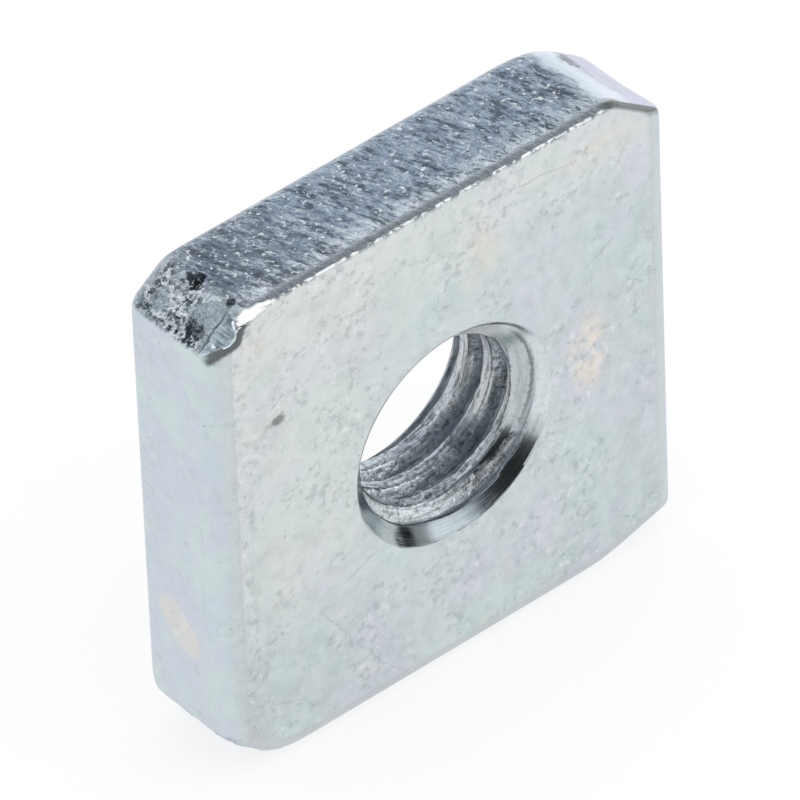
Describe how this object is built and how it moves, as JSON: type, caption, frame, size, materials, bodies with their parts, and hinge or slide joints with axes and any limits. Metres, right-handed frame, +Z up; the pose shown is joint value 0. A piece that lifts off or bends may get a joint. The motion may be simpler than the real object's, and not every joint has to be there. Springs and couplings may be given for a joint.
{
  "type": "t slot nut",
  "caption": "Square zinc-plated steel nut with a tapped, countersunk hole; it slides into a profile's slot and takes a screw.",
  "frame": {"origin": "middle of the lower sheared end, on the surface that the nut stands on", "axes": "+Z up along the bar, +X across the bar, -Y out of the front face, which has the larger countersink"},
  "size_m": [0.013, 0.003, 0.013],
  "materials": {
    "zinc_plated_steel": "bright zinc plating with a pale blue tint, dull and grainy on the sheared ends"
  },
  "bodies": {
    "root": {"square_nut": "zinc_plated_steel"}
  },
  "joints": []
}
